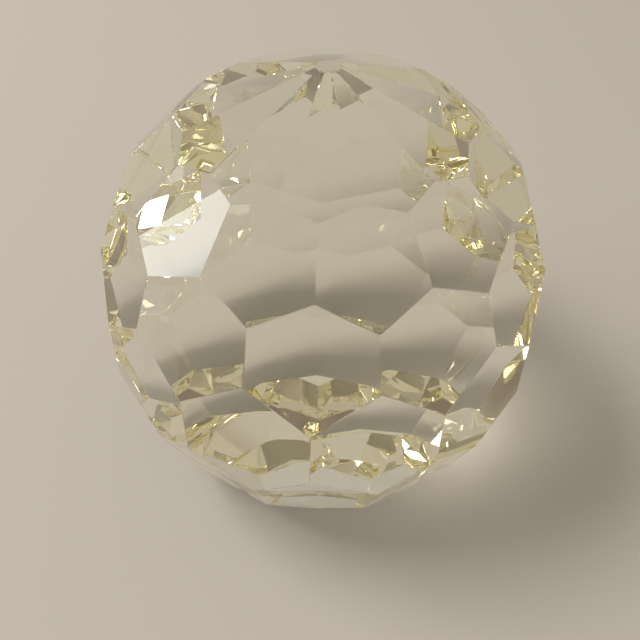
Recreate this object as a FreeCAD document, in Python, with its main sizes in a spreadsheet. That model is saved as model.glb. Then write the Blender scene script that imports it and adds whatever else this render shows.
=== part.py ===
import FreeCAD, Part
import math
import os
import Sketcher

# Faceted crystal ball paperweight: one solid ball of clear glass, ground all over with
# rings of flat facets about its upright axis, with a flat top and a flat base to stand on.
# The origin is the middle of the base, +Z is up and an upper facet faces -Y.

doc = FreeCAD.newDocument("FacetedBall")

# Driving sizes, in millimetres and degrees. The ball is ball_width across, flat to flat. A
# lift is how much further from the middle than half of that a ring's facets or the top lie,
# base_cut is how much nearer the base lies, and blank_allowance is the extra radius of the
# rough blank.
sizes = {
    "ball_width": 76.0,
    "facets_per_ring": 12,
    "blank_allowance": 7.0,
    "top_lift": 4.6,
    "base_cut": 4.4,
}

# The rings of facets from the top down: a name, how far the facets tilt up (or down, when
# negative), their lift, and the ring's turn about the axis, in facets. Neighbouring rings
# are half a facet apart. The star facets nearly meet, and only a small top facet is left.
# The two lowest rings are turned a little further, because the ball is turned over and set
# up again to grind its lower side.
rings = [
    ("star", 67.0, 1.9, 0.0),
    ("crown", 46.0, 1.8, 0.5),
    ("upper", 22.0, 0.8, 0.0),
    ("girdle", 2.5, 0.0, 0.5),
    ("lower", -18.5, 1.1, 0.05),
    ("pavilion", -52.0, 2.0, 0.55),
]

for ring, tilt, lift, turn in rings:
    sizes[ring + "_tilt"] = tilt
    sizes[ring + "_lift"] = lift
    sizes[ring + "_turn"] = turn

sheet = doc.addObject("Spreadsheet::Sheet", "Sizes")
for row, (alias, value) in enumerate(sizes.items(), start=1):
    sheet.set(f"A{row}", alias)
    sheet.set(f"B{row}", str(value))
    sheet.setAlias(f"B{row}", alias)
doc.recompute()

# Expressions that several features share.
blank_radius = "Sizes.ball_width / 2 + Sizes.blank_allowance"
middle_height = "Sizes.ball_width / 2 - Sizes.base_cut"
top_height = "Sizes.ball_width - Sizes.base_cut + Sizes.top_lift"
cutter_side = "Sizes.ball_width + 2 * Sizes.blank_allowance"

body = doc.addObject("PartDesign::Body", "Ball")
body.Label = "faceted_crystal_ball"


def value_of(expression):
    """The expression's present value as a plain number."""
    return float(sheet.evalExpression(expression))


def origin_feature(role):
    return next(item for item in body.Origin.OriginFeatures if item.Role == role)


def upright_sketch(name):
    """A sketch on the upright XZ plane, with x outwards and y up."""
    sketch = body.newObject("Sketcher::SketchObject", name)
    sketch.AttachmentSupport = [(origin_feature("XZ_Plane"), "")]
    sketch.MapMode = "FlatFace"
    return sketch


def add_line(sketch, start, end, construction=False):
    points = [FreeCAD.Vector(x, y, 0) for x, y in (start, end)]
    return sketch.addGeometry(Part.LineSegment(*points), construction)


def constrain(sketch, kind, *references):
    sketch.addConstraint(Sketcher.Constraint(kind, *references))


def dimension(sketch, name, expression, kind, *references, unit="mm"):
    """A dimension that follows the sheet; an angle's number is in degrees."""
    value = value_of(expression)
    start = math.radians(value) if unit == "deg" else value
    index = sketch.addConstraint(Sketcher.Constraint(kind, *references, start))
    sketch.renameConstraint(index, name)
    sketch.setExpression(f"Constraints.{name}", f"({expression}) * 1 {unit}")


# Sketcher's own names for the origin, the two axes and the points of an edge.
ORIGIN = (-1, 1)
UPRIGHT_AXIS = -2
START = 1
END = 2
CENTRE = 3


def turn_blank():
    """The round glass blank with its flat top and flat base, turned about the axis."""
    sketch = upright_sketch("BlankProfile")
    radius = value_of(blank_radius)
    middle = value_of(middle_height)
    top = value_of(top_height)
    top_edge = math.sqrt(radius**2 - (top - middle) ** 2)
    base_edge = math.sqrt(radius**2 - middle**2)
    circle = Part.Circle(FreeCAD.Vector(0, middle, 0), FreeCAD.Vector(0, 0, 1), radius)
    base_angle = math.atan2(-middle, base_edge)
    top_angle = math.atan2(top - middle, top_edge)

    axis = add_line(sketch, (0, 0), (0, top))
    crown = add_line(sketch, (0, top), (top_edge, top))
    side = sketch.addGeometry(Part.ArcOfCircle(circle, base_angle, top_angle))
    base = add_line(sketch, (base_edge, 0), (0, 0))

    constrain(sketch, "Coincident", axis, START, *ORIGIN)
    constrain(sketch, "Coincident", axis, END, crown, START)
    constrain(sketch, "Coincident", crown, END, side, END)
    constrain(sketch, "Coincident", side, START, base, START)
    constrain(sketch, "Coincident", base, END, axis, START)
    constrain(sketch, "Vertical", axis)
    constrain(sketch, "Horizontal", crown)
    constrain(sketch, "Horizontal", base)
    constrain(sketch, "PointOnObject", side, CENTRE, UPRIGHT_AXIS)
    dimension(sketch, "TopHeight", top_height, "DistanceY", axis, START, axis, END)
    dimension(sketch, "MiddleHeight", middle_height, "DistanceY", *ORIGIN, side, CENTRE)
    dimension(sketch, "BlankRadius", blank_radius, "Radius", side)

    blank = body.newObject("PartDesign::Revolution", "Blank")
    blank.Profile = sketch
    blank.ReferenceAxis = (sketch, ["V_Axis"])
    blank.Angle = 360
    return blank


def grind_ring(ring):
    """One flat facet ground at the ring's tilt and lift, then repeated round the axis."""
    name = ring.capitalize()
    tilt_expression = f"Sizes.{ring}_tilt"
    reach_expression = f"Sizes.ball_width / 2 + Sizes.{ring}_lift"
    tilt = math.radians(value_of(tilt_expression))
    reach = value_of(reach_expression)
    side = value_of(cutter_side)
    outward = FreeCAD.Vector(math.cos(tilt), math.sin(tilt), 0)
    along = FreeCAD.Vector(-math.sin(tilt), math.cos(tilt), 0)
    middle = FreeCAD.Vector(0, value_of(middle_height), 0)
    facet = middle + outward * reach
    corners = [
        facet - along * side / 2,
        facet + along * side / 2,
        facet + along * side / 2 + outward * side,
        facet - along * side / 2 + outward * side,
    ]

    sketch = upright_sketch(f"{name}Cutter")
    spoke = add_line(sketch, (middle.x, middle.y), (facet.x, facet.y), construction=True)
    edges = []
    for corner, following in zip(corners, corners[1:] + corners[:1]):
        edges.append(add_line(sketch, (corner.x, corner.y), (following.x, following.y)))
    for edge, following in zip(edges, edges[1:] + edges[:1]):
        constrain(sketch, "Coincident", edge, END, following, START)
    for edge, following in zip(edges, edges[1:]):
        constrain(sketch, "Perpendicular", edge, following)
    ground = edges[0]
    constrain(sketch, "PointOnObject", spoke, START, UPRIGHT_AXIS)
    constrain(sketch, "Perpendicular", spoke, ground)
    constrain(sketch, "Symmetric", ground, START, ground, END, spoke, END)
    dimension(sketch, "MiddleHeight", middle_height, "DistanceY", *ORIGIN, spoke, START)
    dimension(sketch, "Reach", reach_expression, "Distance", spoke)
    dimension(sketch, "Tilt", tilt_expression, "Angle", spoke, unit="deg")
    dimension(sketch, "CutterWidth", cutter_side, "Distance", ground)
    dimension(sketch, "CutterDepth", cutter_side, "Distance", edges[1])
    upright = FreeCAD.Vector(0, 1, 0)
    sketch.AttachmentOffset = FreeCAD.Placement(FreeCAD.Vector(), FreeCAD.Rotation(upright, 1))
    sketch.setExpression(
        "AttachmentOffset.Rotation.Angle",
        f"360 / Sizes.facets_per_ring * Sizes.{ring}_turn * 1 deg",
    )

    facet_cut = body.newObject("PartDesign::Pocket", f"{name}Facet")
    facet_cut.Profile = sketch
    facet_cut.SideType = "Symmetric"
    facet_cut.setExpression("Length", cutter_side)

    pattern = body.newObject("PartDesign::PolarPattern", f"{name}Ring")
    pattern.Originals = [facet_cut]
    pattern.Axis = (origin_feature("Z_Axis"), [""])
    pattern.Angle = 360
    pattern.setExpression("Occurrences", "Sizes.facets_per_ring")
    body.Tip = pattern
    return pattern


steps = [turn_blank()]
for ring, *ring_sizes in rings:
    steps.append(grind_ring(ring))
doc.recompute()

for item in doc.Objects:
    if "Invalid" in item.State or "Error" in item.State:
        raise SystemExit(f"{item.Name} failed: {item.State}")
if body.Shape.isNull() or not body.Shape.isValid():
    raise SystemExit(f"{body.Label} has no valid shape")

for before, after in zip(steps, steps[1:]):
    removed = before.Shape.Volume - after.Shape.Volume
    print(f"{after.Name}: removed {removed:.0f} mm3")
    if removed <= 0:
        raise SystemExit(f"{after.Name} removed nothing")

faces = body.Shape.Faces
expected = len(rings) * sheet.facets_per_ring + 2
print(f"{len(faces)} faces of {expected} expected, smallest {min(f.Area for f in faces):.1f} mm2")
if any(not isinstance(face.Surface, Part.Plane) for face in faces):
    raise SystemExit("some of the round blank is left between the facets")
box = body.Shape.BoundBox
print(f"box {box.XLength:.2f} x {box.YLength:.2f} x {box.ZLength:.2f} mm, base at {box.ZMin:.3f}")

os.makedirs("parts", exist_ok=True)
body.Shape.exportStep(f"parts/{body.Label}.step")
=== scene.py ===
import math
import bpy
from mathutils import Matrix, Vector


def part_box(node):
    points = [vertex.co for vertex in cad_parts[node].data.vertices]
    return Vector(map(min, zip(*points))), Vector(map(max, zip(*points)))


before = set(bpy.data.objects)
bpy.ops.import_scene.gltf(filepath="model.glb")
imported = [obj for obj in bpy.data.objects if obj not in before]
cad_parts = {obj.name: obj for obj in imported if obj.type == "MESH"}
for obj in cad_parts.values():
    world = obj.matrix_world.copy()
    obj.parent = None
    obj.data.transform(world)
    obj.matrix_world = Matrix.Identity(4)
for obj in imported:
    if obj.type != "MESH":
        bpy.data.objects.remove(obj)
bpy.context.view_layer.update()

scene = bpy.context.scene
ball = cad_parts["faceted_crystal_ball"]
lowest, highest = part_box("faceted_crystal_ball")
middle = (lowest + highest) / 2
millimetre = 0.001


# A socket that takes part in sums: each operator adds its Math node.
class Value:
    def __init__(self, shader, socket):
        self.shader = shader
        self.socket = socket

    def maths(self, operation, first, second):
        return self.shader.add("ShaderNodeMath", {"operation": operation}, {0: first, 1: second})

    def __sub__(self, other):
        return self.maths("SUBTRACT", self, other)

    def __rsub__(self, other):
        return self.maths("SUBTRACT", other, self)

    def __mul__(self, other):
        return self.maths("MULTIPLY", self, other)

    def __rmul__(self, other):
        return self.maths("MULTIPLY", other, self)


# One node tree. place() makes any node: its type, its settings, then its sockets.
class Shader:
    def __init__(self, tree):
        self.tree = tree
        tree.nodes.clear()

    def place(self, kind, settings, sockets):
        node = self.tree.nodes.new(kind)
        for name, value in settings.items():
            setattr(node, name, value)
        for name, value in sockets.items():
            if isinstance(value, Value):
                self.tree.links.new(value.socket, node.inputs[name])
            else:
                node.inputs[name].default_value = value
        return node

    def add(self, kind, settings, sockets, output=0):
        return Value(self, self.place(kind, settings, sockets).outputs[output])

    def step(self, value, start, end):  # 0 below start, 1 above end, smooth between
        sockets = {"Value": value, "From Min": start, "From Max": end}
        return self.add("ShaderNodeMapRange", {"interpolation_type": "SMOOTHSTEP"}, sockets)

    def along(self, direction, axis):
        return self.add("ShaderNodeSeparateXYZ", {}, {0: direction}, axis)

    def mixColours(self, factor, first, second):  # a Mix node's colours are sockets 6 and 7
        settings = {"data_type": "RGBA"}
        return self.add("ShaderNodeMix", settings, {0: factor, 6: first, 7: second}, 2)


def newMaterial(name):
    material = bpy.data.materials.new(name)
    material.use_nodes = True
    return material, Shader(material.node_tree)


# Camera: close above the ball, looking down at its front.
view = {
    "azimuth": math.radians(1.86),
    "elevation": math.radians(42.99),
    "distance": 0.13038,
    "aim": Vector((-0.0001, -0.0076, -0.0070)),
    "roll": math.radians(1.19),
    "lens": 40.33,
    "sensor": 36,
    "nearest": 0.001,
}


def outward(azimuth, elevation):  # azimuth 0 is in front of the ball, at -Y
    flat = math.cos(elevation)
    return Vector((math.sin(azimuth) * flat, -math.cos(azimuth) * flat, math.sin(elevation)))


def makeCamera(view):
    data = bpy.data.cameras.new("camera")
    data.lens = view["lens"]
    data.sensor_width = view["sensor"]
    data.clip_start = view["nearest"]
    camera = bpy.data.objects.new("camera", data)
    scene.collection.objects.link(camera)
    camera.location = middle + outward(view["azimuth"], view["elevation"]) * view["distance"]
    towards = middle + view["aim"] - camera.location
    level = towards.to_track_quat("-Z", "Y").to_matrix()
    camera.rotation_euler = (level @ Matrix.Rotation(view["roll"], 3, "Z")).to_euler()
    scene.camera = camera


makeCamera(view)
print("camera set")


# The ball: clear glass with a straw tint, and narrow flats along its edges.
crystal = {
    "colour": (1, 1, 1, 1),
    "index": 1.54,
    "tint": (0.92, 0.87, 0.5, 1),
    "tintDensity": 3,
    "arrisWidth": 0.08 * millimetre,
    "arrisAngle": math.radians(5),
    "samePlane": math.radians(0.5),
    "weldDistance": 0.01 * millimetre,
    # polishing leaves the facets a hair out of flat
    "rippleScale": 70,
    "rippleDetail": 1,
    "rippleHeight": 0.0015 * millimetre,
    # wiped fingerprints: broad patches crossed by fine stretched streaks
    "smudgeScale": 45,
    "smudgeDetail": 3,
    "smudgeEdge": (0.52, 0.72),
    "streakScale": 900,
    "streakDetail": 2,
    "streakStretch": (1, 0.12, 0.3),
    "streakTurn": (0.4, 0.7, 0.2),
    "streakEdge": (0.45, 0.7),
    "smudgeRoughness": 0.012,
    # dust: one possible grain in each cell, drawn where it touches the surface
    "dustSpacing": 2.6 * millimetre,
    "dustRadius": 0.09 * millimetre,
    "dustCore": 0.6,
    "dustColour": (0.75, 0.72, 0.66, 1),
    "dustRoughness": 0.9,
    "dustCover": 0.8,
}


def makeCrystal(crystal):
    material, shader = newMaterial("crystal")
    place = shader.add("ShaderNodeTexCoord", {}, {}, "Object")

    ripple = shader.add("ShaderNodeTexNoise", {}, {
        "Vector": place,
        "Scale": crystal["rippleScale"],
        "Detail": crystal["rippleDetail"],
    })
    surface = shader.add("ShaderNodeBump", {}, {
        "Height": ripple,
        "Distance": crystal["rippleHeight"],
        "Strength": 1,
    })

    patch = shader.add("ShaderNodeTexNoise", {}, {
        "Vector": place,
        "Scale": crystal["smudgeScale"],
        "Detail": crystal["smudgeDetail"],
    })
    stretched = shader.add("ShaderNodeMapping", {}, {
        "Vector": place,
        "Rotation": crystal["streakTurn"],
        "Scale": crystal["streakStretch"],
    })
    streak = shader.add("ShaderNodeTexNoise", {}, {
        "Vector": stretched,
        "Scale": crystal["streakScale"],
        "Detail": crystal["streakDetail"],
    })
    smudged = shader.step(patch, *crystal["smudgeEdge"])
    streaked = shader.step(streak, *crystal["streakEdge"])

    glass = shader.add("ShaderNodeBsdfPrincipled", {}, {
        "Base Color": crystal["colour"],
        "Roughness": smudged * streaked * crystal["smudgeRoughness"],
        "IOR": crystal["index"],
        "Transmission Weight": 1,
        "Normal": surface,
    })

    grain = shader.add("ShaderNodeTexVoronoi", {}, {
        "Vector": place,
        "Scale": 1 / crystal["dustSpacing"],
    })
    radius = crystal["dustRadius"] / crystal["dustSpacing"]
    clear = shader.step(grain, radius * crystal["dustCore"], radius)
    dusty = (1 - clear) * crystal["dustCover"]
    dust = shader.add("ShaderNodeBsdfPrincipled", {}, {
        "Base Color": crystal["dustColour"],
        "Roughness": crystal["dustRoughness"],
    })
    covered = shader.add("ShaderNodeMixShader", {}, {0: dusty, 1: glass, 2: dust})
    tint = shader.add("ShaderNodeVolumeAbsorption", {}, {
        "Color": crystal["tint"],
        "Density": crystal["tintDensity"],
    })
    shader.place("ShaderNodeOutputMaterial", {}, {"Surface": covered, "Volume": tint})
    return material


def finishArrises(ball, crystal):
    weld = ball.modifiers.new("weld", "WELD")
    weld.merge_threshold = crystal["weldDistance"]
    facets = ball.modifiers.new("whole facets", "DECIMATE")
    facets.decimate_type = "DISSOLVE"
    facets.angle_limit = crystal["samePlane"]
    arris = ball.modifiers.new("arris", "BEVEL")
    arris.width = crystal["arrisWidth"]
    arris.segments = 1
    arris.limit_method = "ANGLE"
    arris.angle_limit = crystal["arrisAngle"]


glassMaterial = makeCrystal(crystal)
for slot in ball.material_slots:
    slot.material = glassMaterial
finishArrises(ball, crystal)
print("ball finished")


# Table top, a hair below the base so that the base still mirrors what is above it.
table = {
    "size": 3,
    "gap": 0.05 * millimetre,
    "colour": (0.455, 0.42, 0.377, 1),
    "roughness": 0.5,
}


def makeTable(table):
    bpy.ops.mesh.primitive_plane_add(size=table["size"], location=(0, 0, lowest.z - table["gap"]))
    floor = bpy.context.object
    floor.name = "table"
    material, shader = newMaterial("table")
    paint = shader.add("ShaderNodeBsdfPrincipled", {}, {
        "Base Color": table["colour"],
        "Roughness": table["roughness"],
    })
    shader.place("ShaderNodeOutputMaterial", {}, {"Surface": paint})
    floor.data.materials.append(material)


makeTable(table)
print("table laid")


# Light: a warm room, brighter on the left and dim low down in front, and two softboxes.
# The facets mirror the window. The key lights the table and isn't mirrored, but it can
# still be seen straight through the glass.
room = {
    "left": (0.56, 0.525, 0.455, 1),
    "right": (0.48, 0.435, 0.365, 1),
    "front": (0.20, 0.155, 0.12, 1),
    "frontHeight": (0.42, 0.56),
    "frontSpread": (0.5, 0.8),
}
softboxes = {
    "window": {
        "azimuth": -81, "elevation": 22, "distance": 1.5,
        "size": (0.57, 0.52), "radiance": 6, "colour": (0.95, 0.98, 1),
        "mirrored": True,
    },
    "key": {
        "azimuth": -98, "elevation": 54, "distance": 1.5,
        "size": (0.7, 0.5), "radiance": 16, "colour": (1, 0.97, 0.93),
        "mirrored": False,
    },
}


def makeRoom(room):
    world = bpy.data.worlds.new("room")
    world.use_nodes = True
    shader = Shader(world.node_tree)
    direction = shader.add("ShaderNodeTexCoord", {}, {}, "Generated")
    rightward = shader.step(shader.along(direction, "X"), -1, 1)
    walls = shader.mixColours(rightward, room["left"], room["right"])
    low = 1 - shader.step(shader.along(direction, "Z"), *room["frontHeight"])
    ahead = shader.step(-1 * shader.along(direction, "Y"), *room["frontSpread"])
    colour = shader.mixColours(low * ahead, walls, room["front"])
    light = shader.add("ShaderNodeBackground", {}, {"Color": colour, "Strength": 1})
    shader.place("ShaderNodeOutputWorld", {}, {"Surface": light})
    scene.world = world


def makeSoftbox(name, box):
    data = bpy.data.lights.new(name, "AREA")
    data.shape = "RECTANGLE"
    data.size, data.size_y = box["size"]
    data.energy = box["radiance"] * math.pi * data.size * data.size_y
    data.color = box["colour"]
    lamp = bpy.data.objects.new(name, data)
    scene.collection.objects.link(lamp)
    side = outward(math.radians(box["azimuth"]), math.radians(box["elevation"]))
    lamp.location = middle + side * box["distance"]
    lamp.rotation_euler = (-side).to_track_quat("-Z", "Y").to_euler()
    lamp.visible_glossy = box["mirrored"]


makeRoom(room)
for name, box in softboxes.items():
    makeSoftbox(name, box)
print("lights placed")


# A ray of light may cross the ball many times before it leaves.
bounces = 48
scene.view_settings.view_transform = "Standard"
scene.cycles.max_bounces = bounces
scene.cycles.glossy_bounces = bounces
scene.cycles.transmission_bounces = bounces
scene.cycles.caustics_refractive = True
scene.cycles.caustics_reflective = True
